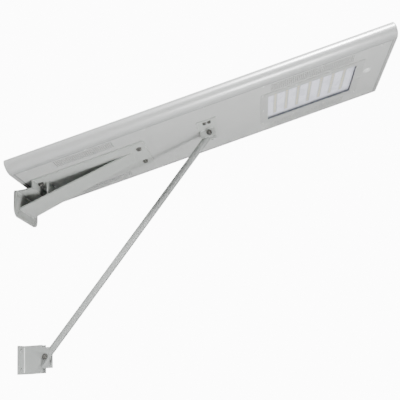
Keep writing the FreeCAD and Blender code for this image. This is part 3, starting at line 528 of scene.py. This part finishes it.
def islands(node, place):
    """The lowest and highest corner of each separate solid of a CAD node, in the frame that place gives."""
    mesh = bmesh.new()
    mesh.from_mesh(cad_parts[node].data)
    bmesh.ops.remove_doubles(mesh, verts=mesh.verts, dist=0.01 * MM)
    back = place.inverted()
    left = set(mesh.verts)
    found = []
    while left:
        edge = [left.pop()]
        members = []
        while edge:
            vert = edge.pop()
            members.append(back @ vert.co)
            for link in vert.link_edges:
                other = link.other_vert(vert)
                if other in left:
                    left.discard(other)
                    edge.append(other)
        low = Vector([min(co[i] for co in members) for i in range(3)])
        high = Vector([max(co[i] for co in members) for i in range(3)])
        found.append((low, high))
    mesh.free()
    return sorted(found, key=lambda pair: tuple(round(value, 5) for value in pair[0]))


def ring(mesh, place, z, radius, segments):
    """A ring of points about the local Z axis; radius is a number or a function of the angle."""
    made = []
    for step in range(segments):
        angle = 2 * math.pi * step / segments
        reach = radius(angle) if callable(radius) else radius
        made.append(mesh.verts.new(place @ Vector((reach * math.cos(angle), reach * math.sin(angle), z))))
    return made


def join_rings(mesh, first, second, material=0, smooth=True):
    count = len(first)
    for i in range(count):
        j = (i + 1) % count
        face = mesh.faces.new((first[i], first[j], second[j], second[i]))
        face.material_index = material
        face.smooth = smooth


def turned(mesh, levels, place, segments=24, material=0):
    """A closed turned solid: levels are (height, radius) from one end to the other."""
    rings = [ring(mesh, place, z, radius, segments) for z, radius in levels]
    for first, second in zip(rings, rings[1:]):
        join_rings(mesh, first, second, material)
    for end, flip in ((rings[0], True), (rings[-1], False)):
        face = mesh.faces.new(reversed(end) if flip else end)
        face.material_index = material


def turned_ring(mesh, section, place, segments=32, material=0):
    """A closed ring: section is a loop of (height, radius) points."""
    rings = [ring(mesh, place, z, radius, segments) for z, radius in section]
    for first, second in zip(rings, rings[1:] + rings[:1]):
        join_rings(mesh, first, second, material)


def hexagon(flats):
    def radius(angle):
        return flats / 2 / math.cos((angle + HEX_STEP / 2) % HEX_STEP - HEX_STEP / 2)

    return radius


def clipped_hexagon(flats, limit):
    outline = hexagon(flats)
    return lambda angle: min(outline(angle), limit)


def cross(arm, width):
    """A rounded cross outline for a screw recess."""

    def radius(angle):
        wave = abs(math.cos(2 * angle)) ** 1.5
        return width + (arm - width) * wave

    return radius


def tube_along(mesh, points, radius_at, segments=12, material=0, closed=False):
    """A tube along a list of points; radius_at takes the distance run so far."""
    count = len(points)
    rings = []
    run = 0.0
    side = None
    for i, point in enumerate(points):
        after = points[(i + 1) % count] if closed or i + 1 < count else point
        before = points[i - 1] if closed or i else point
        along = (after - before).normalized()
        if side is None:
            helper = Vector((0, 0, 1)) if abs(along.z) < 0.9 else Vector((1, 0, 0))
            side = along.cross(helper).normalized()
        side = (side - along * side.dot(along)).normalized()
        up = along.cross(side)
        if i:
            run += (point - points[i - 1]).length
        reach = radius_at(run)
        made = []
        for step in range(segments):
            angle = 2 * math.pi * step / segments
            made.append(mesh.verts.new(point + reach * (math.cos(angle) * side + math.sin(angle) * up)))
        rings.append(made)
    for first, second in zip(rings, rings[1:] + (rings[:1] if closed else [])):
        join_rings(mesh, first, second, material)
    if not closed:
        mesh.faces.new(list(reversed(rings[0])))
        mesh.faces.new(rings[-1])


def finish_piece(name, mesh, finishes, body, replaces=(), sharp=35):
    """Turns a bmesh into a shaded piece that rides on a body."""
    bmesh.ops.recalc_face_normals(mesh, faces=mesh.faces)
    data = bpy.data.meshes.new(name)
    mesh.to_mesh(data)
    mesh.free()
    data.set_sharp_from_angle(angle=math.radians(sharp))
    piece = bpy.data.objects.new(name, data)
    bpy.context.scene.collection.objects.link(piece)
    for finish in finishes:
        data.materials.append(bpy.data.materials[finish])
    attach(piece, body)
    if replaces:
        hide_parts(*replaces)
    return piece


def frame_at(origin, along):
    """A frame at origin whose Z axis points along a direction."""
    return Matrix.Translation(origin) @ along.to_track_quat("Z", "Y").to_matrix().to_4x4()


def hex_head(mesh, place, flats, height):
    """A bolt head or nut with a chamfered outer face, standing up from place."""
    chamfer = 0.12 * flats
    levels = (
        (0, hexagon(flats * 0.995)),
        (height - chamfer * 0.55, hexagon(flats)),
        (height, clipped_hexagon(flats, flats * 0.47)),
    )
    turned(mesh, levels, place, segments=36)


def threaded(mesh, place, radius, start, end, pitch, depth):
    """A threaded stretch with a chamfered end."""
    levels = [(start, radius)]
    turns = max(1, int((end - start - pitch) / pitch))
    for turn in range(turns):
        z = start + turn * pitch
        levels += [(z + 0.40 * pitch, radius), (z + 0.70 * pitch, radius - depth), (z + 1.0 * pitch, radius)]
    levels.append((end, radius - depth))
    turned(mesh, levels, place, segments=24)


def washer(mesh, place, inner, outer, thickness):
    edge = 0.25 * thickness
    section = (
        (0, inner), (0, outer - edge), (edge, outer), (thickness - edge, outer), (thickness, outer - edge),
        (thickness, inner),
    )
    turned_ring(mesh, section, place)


def pan_head(mesh, place, radius, height):
    """A low domed screw head with a cross recess."""
    dome = [(height * math.sin(a), radius * (0.55 + 0.45 * math.cos(a))) for a in (0, 0.5, 1.0, math.pi / 2)]
    recess = [
        (height, cross(0.50 * radius, 0.16 * radius)),
        (0.25 * height, cross(0.40 * radius, 0.12 * radius)),
    ]
    turned(mesh, dome + recess, place, segments=32)


# ---------------------------------------------------------------- operators


class LAMP_OT_finishes(bpy.types.Operator):
    """Makes every finish and gives each CAD node its own."""

    bl_idname = "lamp.finishes"
    bl_label = "Finishes"

    def execute(self, context):
        made = make_materials(materials_of(context))
        for finish, names in NODE_FINISHES.items():
            for name in names.split():
                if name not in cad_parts:
                    continue
                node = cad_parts[name]
                node.data.materials.clear()
                node.data.materials.append(made[finish])
        return {"FINISHED"}


class LAMP_OT_hex_fasteners(bpy.types.Operator):
    """Builds the chamfered bolts, threaded ends, nuts and washers in place of the plain ones."""

    bl_idname = "lamp.hex_fasteners"
    bl_label = "Bolts and nuts"

    def execute(self, context):
        sizes = context.scene.lamp_pieces
        self.pad_bolts(sizes)
        self.lug_screws(sizes)
        for prefix, body in (("upper", "lamp"), ("lower", "shoe")):
            self.pivot(prefix, body, sizes)
        return {"FINISHED"}

    def pad_bolts(self, sizes):
        mesh = bmesh.new()
        washers = islands("arm_washers", HOUSING)
        outer = [pair for pair in washers if pair[1].z < 0]
        for low, high in islands("arm_bolts", HOUSING):
            axis = (low + high) / 2
            seat = min(outer, key=lambda pair: ((pair[0] + pair[1]) / 2 - axis).xy.length)
            flats = min(high.y - low.y, high.x - low.x)
            place = HOUSING @ frame_at(Vector((axis.x, axis.y, seat[0].z)), Vector((0, 0, -1)))
            hex_head(mesh, place, flats, seat[0].z - low.z)
            thickness = seat[1].z - seat[0].z
            base = HOUSING @ frame_at(Vector((axis.x, axis.y, seat[1].z)), Vector((0, 0, -1)))
            washer(mesh, base, M8_BORE, (seat[1].x - seat[0].x) / 2, thickness)
            shank = HOUSING @ frame_at(Vector((axis.x, axis.y, seat[0].z)), Vector((0, 0, 1)))
            length = high.z - seat[0].z
            threaded(mesh, shank, M8_SHANK, 0, length, sizes.thread_pitch, sizes.thread_depth)
        finish_piece("pad_bolt_set", mesh, ["zinc_plate"], "lamp", ["arm_bolts"])

    def lug_screws(self, sizes):
        mesh = bmesh.new()
        for low, high in islands("lug_screws", HOUSING):
            axis = (low + high) / 2
            flat_seat = low.z + M6_HEAD
            place = HOUSING @ frame_at(Vector((axis.x, axis.y, flat_seat)), Vector((0, 0, -1)))
            hex_head(mesh, place, M6_FLATS, M6_HEAD)
            base = HOUSING @ frame_at(Vector((axis.x, axis.y, flat_seat + M6_WASHER)), Vector((0, 0, -1)))
            washer(mesh, base, M6_BORE, (high.x - low.x) / 2, M6_WASHER)
            shank = HOUSING @ frame_at(Vector((axis.x, axis.y, flat_seat)), Vector((0, 0, 1)))
            pitch = sizes.thread_pitch * M6_PITCH_SHARE
            threaded(mesh, shank, M6_SHANK, 0, high.z - flat_seat, pitch, sizes.thread_depth)
        finish_piece("lug_screw_set", mesh, ["zinc_plate"], "lamp", ["lug_screws"])

    def pivot(self, prefix, body, sizes):
        """The bolt's head is on the far side and its nut and free thread on the near side."""
        bolt_low, bolt_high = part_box(prefix + "_pivot_bolt")
        nut_low, nut_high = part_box(prefix + "_pivot_nut")
        washer_low, washer_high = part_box(prefix + "_pivot_washers")
        center = (washer_low + washer_high) / 2
        flats = nut_high.z - nut_low.z
        toward = Vector((0, -1, 0))
        away = Vector((0, 1, 0))

        def at(y, direction):
            return frame_at(Vector((center.x, y, center.z)), direction)

        mesh = bmesh.new()
        hex_head(mesh, at(washer_high.y, away), flats, bolt_high.y - washer_high.y)
        shank_length = washer_high.y - bolt_low.y
        plain = washer_high.y - nut_high.y
        shank = at(washer_high.y, toward)
        turned(mesh, ((0, M8_SHANK), (plain, M8_SHANK)), shank)
        threaded(mesh, shank, M8_SHANK, plain, shank_length, sizes.thread_pitch, sizes.thread_depth)
        finish_piece(prefix + "_bolt", mesh, ["zinc_plate"], body, [prefix + "_pivot_bolt"])
        mesh = bmesh.new()
        hex_head(mesh, at(nut_high.y, toward), flats, nut_high.y - nut_low.y)
        finish_piece(prefix + "_nut", mesh, ["zinc_plate"], body, [prefix + "_pivot_nut"])
        mesh = bmesh.new()
        outer = (washer_high.z - washer_low.z) / 2
        thickness = nut_high.y - washer_low.y
        washer(mesh, at(washer_high.y - thickness, away), M8_BORE, outer, thickness)
        washer(mesh, at(washer_low.y + thickness, toward), M8_BORE, outer, thickness)
        replaced = [prefix + "_pivot_washers"]
        finish_piece(prefix + "_washers", mesh, ["zinc_plate"], body, replaced)


class LAMP_OT_small_screws(bpy.types.Operator):
    """Builds the pan-head screws of the sheet, the bezel and the end caps."""

    bl_idname = "lamp.small_screws"
    bl_label = "Pan-head screws"

    def execute(self, context):
        out = {
            "sheet_screws": Vector((0, 0, -1)),
            "bezel_screws": Vector((0, 0, -1)),
            "cap_screws_pole": Vector((-1, 0, 0)),
            "cap_screws_tip": Vector((1, 0, 0)),
        }
        for node, along in out.items():
            mesh = bmesh.new()
            for low, high in islands(node, HOUSING):
                center = (low + high) / 2
                half = Vector([(high[i] - low[i]) / 2 for i in range(3)])
                outer = center + Vector([along[i] * half[i] for i in range(3)])
                inner = center - Vector([along[i] * half[i] for i in range(3)])
                place = HOUSING @ frame_at(outer - along * SCREW_HEAD, along)
                pan_head(mesh, place, SCREW_RADIUS, SCREW_HEAD)
                shank = HOUSING @ frame_at(inner, along)
                length = (outer - inner).length - SCREW_HEAD
                levels = ((0, SCREW_POINT), (SCREW_SHANK, SCREW_SHANK), (length, SCREW_SHANK))
                turned(mesh, levels, shank, segments=12)
            finish = "zinc_plate" if node.startswith("cap") else "sheet_paint"
            finish_piece(node + "_pan", mesh, [finish], "lamp", [node])
        return {"FINISHED"}


class LAMP_OT_emitters(bpy.types.Operator):
    """Builds each emitter as a white package with a domed phosphor face."""

    bl_idname = "lamp.emitters"
    bl_label = "Emitters"

    def execute(self, context):
        mesh = bmesh.new()
        for low, high in islands("led_emitters", HOUSING):
            center = (low + high) / 2
            half = (high.x - low.x) / 2
            height = high.z - low.z
            place = HOUSING @ frame_at(Vector((center.x, center.y, high.z)), Vector((0, 0, -1)))
            square = clipped_square(half)
            inner = clipped_square(half * 0.9)
            package = ((0, square), (height * 0.55, square), (height * 0.7, inner))
            turned(mesh, package, place, 16, material=1)
            dome = []
            for angle in (0, 0.5, 1.0, 1.4):
                dome.append((height * (0.7 + 0.3 * math.sin(angle)), half * 0.78 * math.cos(angle)))
            turned(mesh, dome, place, 20, material=0)
        finishes = ["phosphor", "emitter_package"]
        finish_piece("emitter_packages", mesh, finishes, "lamp", ["led_emitters"])
        return {"FINISHED"}


def clipped_square(half):
    """Radius of a square outline with clipped corners."""

    def radius(angle):
        reach = half / max(abs(math.cos(angle)), abs(math.sin(angle)))
        return min(reach, half * 1.32)

    return radius


class LAMP_OT_strut(bpy.types.Operator):
    """Builds the strut's tube between its two end pieces."""

    bl_idname = "lamp.strut"
    bl_label = "Strut tube"

    def execute(self, context):
        sizes = context.scene.lamp_pieces
        upper = sum(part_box("upper_pivot_bolt"), Vector()) / 2
        lower = sum(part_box("lower_pivot_bolt"), Vector()) / 2
        upper.y = 0
        lower.y = 0
        along = (lower - upper).normalized()
        place = frame_at(upper + along * sizes.strut_end, along)
        length = (lower - upper).length - 2 * sizes.strut_end
        low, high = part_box("strut_tube")
        outer = (high.y - low.y) / 2
        inner = outer - sizes.strut_wall
        edge = TUBE_EDGE
        section = (
            (0, inner), (0, outer - edge), (edge, outer), (length - edge, outer), (length, outer - edge),
            (length, inner),
        )
        mesh = bmesh.new()
        turned_ring(mesh, section, place, segments=48)
        # The tube wears the strut's darkened paint, which is painted shade.
        finish_piece("strut_pipe", mesh, ["strut_shaded_paint"], "strut", ["strut_tube"])
        return {"FINISHED"}


class LAMP_OT_sensor(bpy.types.Operator):
    """Builds the motion sensor's stepped lens with its collar."""

    bl_idname = "lamp.sensor"
    bl_label = "Motion sensor"

    def execute(self, context):
        sizes = context.scene.lamp_pieces
        low, high = islands("sensor_lens", HOUSING)[0]
        center = (low + high) / 2
        radius = (high.x - low.x) / 2
        rise = high.z - low.z
        place = HOUSING @ frame_at(Vector((center.x, center.y, high.z)), Vector((0, 0, -1)))
        collar = 0.22 * rise
        levels = [(0, radius), (collar * 0.7, radius), (collar, radius * 0.96), (collar, radius * 0.88)]
        for number in range(sizes.lens_rings):
            share = number / sizes.lens_rings
            reach = radius * 0.88 * (1 - share)
            top = collar + (rise - collar) * math.sqrt(max(0.0, 1 - (1 - share) ** 2))
            levels.append((top, reach))
            levels.append((top - 0.12 * MM, reach - 0.25 * MM))
        levels.append((rise, 0.3 * MM))
        mesh = bmesh.new()
        turned(mesh, levels, place, segments=36)
        # The lens takes the darkened sensor plastic, which is painted shade.
        finish = "sensor_plastic"
        finish_piece("stepped_lens", mesh, [finish], "lamp", ["sensor_lens"], sharp=20)
        return {"FINISHED"}


def weld_radius(sizes, phase=0.0):
    """Radius along a weld bead: ripples with a little unevenness."""

    def radius(run):
        ripple = 0.10 * math.sin(2 * math.pi * run / sizes.bead_ripple + phase)
        drift = 0.10 * noise.noise(Vector((run * 90, phase, 0)))
        return sizes.bead_radius * (1 + ripple + drift)

    return radius


def straight(start, end, step):
    count = max(2, int((end - start).length / step))
    return [start.lerp(end, i / count) for i in range(count + 1)]


class LAMP_OT_welds(bpy.types.Operator):
    """Lays the weld beads of the arm, the lug and the shoe."""

    bl_idname = "lamp.welds"
    bl_label = "Weld beads"

    def execute(self, context):
        sizes = context.scene.lamp_pieces
        step = sizes.bead_ripple / 5
        self.bead("arm_weld_beads", self.arm_lines(), "lamp", sizes, step)
        self.bead("lug_weld_beads", self.lug_lines(), "lamp", sizes, step)
        self.bead("shoe_weld_beads", self.shoe_lines(), "shoe", sizes, step)
        return {"FINISHED"}

    def bead(self, name, lines, body, sizes, step):
        mesh = bmesh.new()
        for number, (start, end) in enumerate(lines):
            tube_along(mesh, straight(start, end, step), weld_radius(sizes, number), segments=10)
        finish_piece(name, mesh, ["arm_paint"], body)

    def arm_lines(self):
        flange_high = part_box("arm_flange")[1]
        web_low, web_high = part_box("arm_web")
        face = flange_high.x
        shelf = flange_high.z - PLATE
        half = flange_high.y - FLANGE_CORNER - BEAD_INSET
        root = web_high.y - BEAD_INSET
        lines = [
            (Vector((face, -half, shelf)), Vector((face, half, shelf))),
            (Vector((face, -root, web_low.z)), Vector((face, root, web_low.z))),
        ]
        rib_low, rib_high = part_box("arm_rib")
        half = rib_high.y - BEAD_INSET
        under = rib_low.z + RIB_BEAD_LIFT
        lines.append((Vector((rib_low.x, -half, under)), Vector((rib_low.x, half, under))))
        return lines

    def lug_lines(self):
        lines = []
        for ear in ("lug_ear_near", "lug_ear_far"):
            low, high = islands(ear, HOUSING)[0]
            for y in (low.y, high.y):
                start = HOUSING @ Vector((low.x + BEAD_INSET, y, high.z))
                end = HOUSING @ Vector((high.x - BEAD_INSET, y, high.z))
                lines.append((start, end))
        return lines

    def shoe_lines(self):
        lines = []
        plate_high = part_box("shoe_plate")[1]
        for ear, outer in (("shoe_ear_near", 0), ("shoe_ear_far", 1)):
            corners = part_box(ear)
            y = corners[outer].y
            low = corners[0].z + SHOE_BEAD_INSET
            high = corners[1].z - SHOE_BEAD_INSET
            lines.append((Vector((plate_high.x, y, low)), Vector((plate_high.x, y, high))))
        return lines


def seal_radius(radius, phase):
    """Radius along a sealant bead, a little uneven."""
    return lambda run: radius * (1 + 0.12 * noise.noise(Vector((run * 40, phase, 0))))


class LAMP_OT_seals(bpy.types.Operator):
    """Lays the sealant bead between the solar glass and the rails' lips, and a dark bead of painted shade in
    the gap round the underside sheet.
    """

    bl_idname = "lamp.seals"
    bl_label = "Panel seal"

    def execute(self, context):
        sizes = context.scene.lamp_pieces
        low, high = islands("panel_glass", HOUSING)[0]
        edge = high.y - PANEL_LIP
        ends = (low.x + sizes.seal_radius, high.x - sizes.seal_radius)
        mesh = bmesh.new()
        corners = [(ends[0], -edge), (ends[1], -edge), (ends[1], edge), (ends[0], edge)]
        for (x0, y0), (x1, y1) in zip(corners, corners[1:] + corners[:1]):
            start = HOUSING @ Vector((x0, y0, high.z))
            end = HOUSING @ Vector((x1, y1, high.z))
            radius = seal_radius(sizes.seal_radius, x0)
            tube_along(mesh, straight(start, end, SEAL_STEP), radius, segments=8)
        finish_piece("panel_seal_bead", mesh, ["sealant_and_seam_shade"], "lamp")
        self.sheet_seam()
        return {"FINISHED"}

    def sheet_seam(self):
        """A dark bead in the gap round the underside sheet, as painted shade of the crease at the sheet's
        edge.
        """
        low, high = islands("bottom_sheet", HOUSING)[0]
        gap = SEAM_HALF_GAP
        level = low.z + SEAM_LEVEL
        x0, y0, x1, y1 = low.x - gap, low.y - gap, high.x + gap, high.y + gap
        places = [(x0, y0), (x1, y0), (x1, y1), (x0, y1)]
        mesh = bmesh.new()
        for (x0, y0), (x1, y1) in zip(places, places[1:] + places[:1]):
            start = HOUSING @ Vector((x0, y0, level))
            end = HOUSING @ Vector((x1, y1, level))
            tube_along(mesh, straight(start, end, SEAM_STEP), seal_radius(SEAM_RADIUS, x0), segments=8)
        finish_piece("sheet_seam_shade_bead", mesh, ["sealant_and_seam_shade"], "lamp")


class LAMP_OT_stage(bpy.types.Operator):
    """Sets the curved white backdrop, the lights, the surroundings and the camera."""

    bl_idname = "lamp.stage"
    bl_label = "Stage"

    def execute(self, context):
        settings = context.scene.lamp_stage
        self.backdrop(settings)
        self.sky(context, settings)
        self.lamp("key", (1.05, -1.4, 1.8), (0.6, 0.0, 0.2), 0.6, settings.key_power)
        self.lamp("side", (-1.4, -1.6, 0.0), (0.3, 0.0, 0.0), 1.2, settings.fill_power)
        self.lamp("under", (1.25, -0.7, -0.95), (0.55, 0.0, 0.15), 0.35, settings.under_power)
        self.camera(context)
        return {"FINISHED"}

    def backdrop(self, settings):
        """A floor that sweeps up into a wall behind the lamp."""
        floor = settings.floor_drop
        front, turn, radius, top, half = -7.0, 3.2, 2.2, 9.0, 11.0
        profile = [(front, floor), (turn, floor)]
        for i in range(1, SWEEP_STEPS + 1):
            angle = math.pi / 2 * i / SWEEP_STEPS
            profile.append((turn + radius * math.sin(angle), floor + radius * (1 - math.cos(angle))))
        profile.append((turn + radius, top))
        mesh = bmesh.new()
        rows = [[mesh.verts.new((x, y, z)) for y, z in profile] for x in (-half, half)]
        for i in range(len(profile) - 1):
            face = mesh.faces.new((rows[0][i], rows[1][i], rows[1][i + 1], rows[0][i + 1]))
            face.smooth = True
            face.material_index = int(i > SWEEP_STEPS / 2)
        data = bpy.data.meshes.new("backdrop")
        mesh.to_mesh(data)
        mesh.free()
        data.materials.append(studio_white("backdrop_floor", FLOOR_WHITE, settings.glow))
        data.materials.append(studio_white("backdrop_wall", WALL_WHITE, settings.glow))
        sweep = bpy.data.objects.new("backdrop", data)
        bpy.context.scene.collection.objects.link(sweep)

    def sky(self, context, settings):
        world = bpy.data.worlds.new("studio")
        world.use_nodes = True
        background = world.node_tree.nodes["Background"]
        background.inputs["Color"].default_value = (1, 1, 1, 1)
        background.inputs["Strength"].default_value = settings.sky
        context.scene.world = world

    def lamp(self, name, position, target, size, power):
        data = bpy.data.lights.new(name, "AREA")
        data.shape = "DISK"
        data.size = size
        data.energy = power
        light = bpy.data.objects.new(name, data)
        light.location = position
        light.rotation_mode = "QUATERNION"
        light.rotation_quaternion = (Vector(target) - Vector(position)).to_track_quat("-Z", "Y")
        bpy.context.scene.collection.objects.link(light)

    def camera(self, context):
        right = Vector(CAMERA_RIGHT).normalized()
        ahead = Vector(CAMERA_AHEAD).normalized()
        up = right.cross(ahead).normalized()
        right = ahead.cross(up)
        data = bpy.data.cameras.new("camera")
        data.sensor_width = SENSOR_WIDTH
        data.lens = LENS
        camera = bpy.data.objects.new("camera", data)
        turn = Matrix((right, up, -ahead)).transposed().to_4x4()
        camera.matrix_world = Matrix.Translation(CAMERA_PLACE) @ turn
        bpy.context.scene.collection.objects.link(camera)
        context.scene.camera = camera


STEPS = (
    LAMP_OT_finishes,
    LAMP_OT_hex_fasteners,
    LAMP_OT_small_screws,
    LAMP_OT_emitters,
    LAMP_OT_strut,
    LAMP_OT_sensor,
    LAMP_OT_welds,
    LAMP_OT_seals,
    LAMP_OT_stage,
)


class LAMP_PT_parts(bpy.types.Panel):
    """Lists the lamp's steps in the 3D view's sidebar."""

    bl_idname = "LAMP_PT_parts"
    bl_label = "Street Lamp"
    bl_space_type = "VIEW_3D"
    bl_region_type = "UI"
    bl_category = "Street Lamp"

    def draw(self, context):
        for step in STEPS:
            self.layout.operator(step.bl_idname)


CLASSES = (MaterialSettings, PieceSettings, StageSettings, *STEPS, LAMP_PT_parts)


def register():
    for kind in CLASSES:
        bpy.utils.register_class(kind)
    bpy.types.Scene.lamp_materials = PointerProperty(type=MaterialSettings)
    bpy.types.Scene.lamp_pieces = PointerProperty(type=PieceSettings)
    bpy.types.Scene.lamp_stage = PointerProperty(type=StageSettings)


def unregister():
    del bpy.types.Scene.lamp_stage
    del bpy.types.Scene.lamp_pieces
    del bpy.types.Scene.lamp_materials
    for kind in reversed(CLASSES):
        bpy.utils.unregister_class(kind)


def main():
    register()
    for step in STEPS:
        group, name = step.bl_idname.split(".")
        getattr(getattr(bpy.ops, group), name)()


if __name__ == "__main__":
    main()
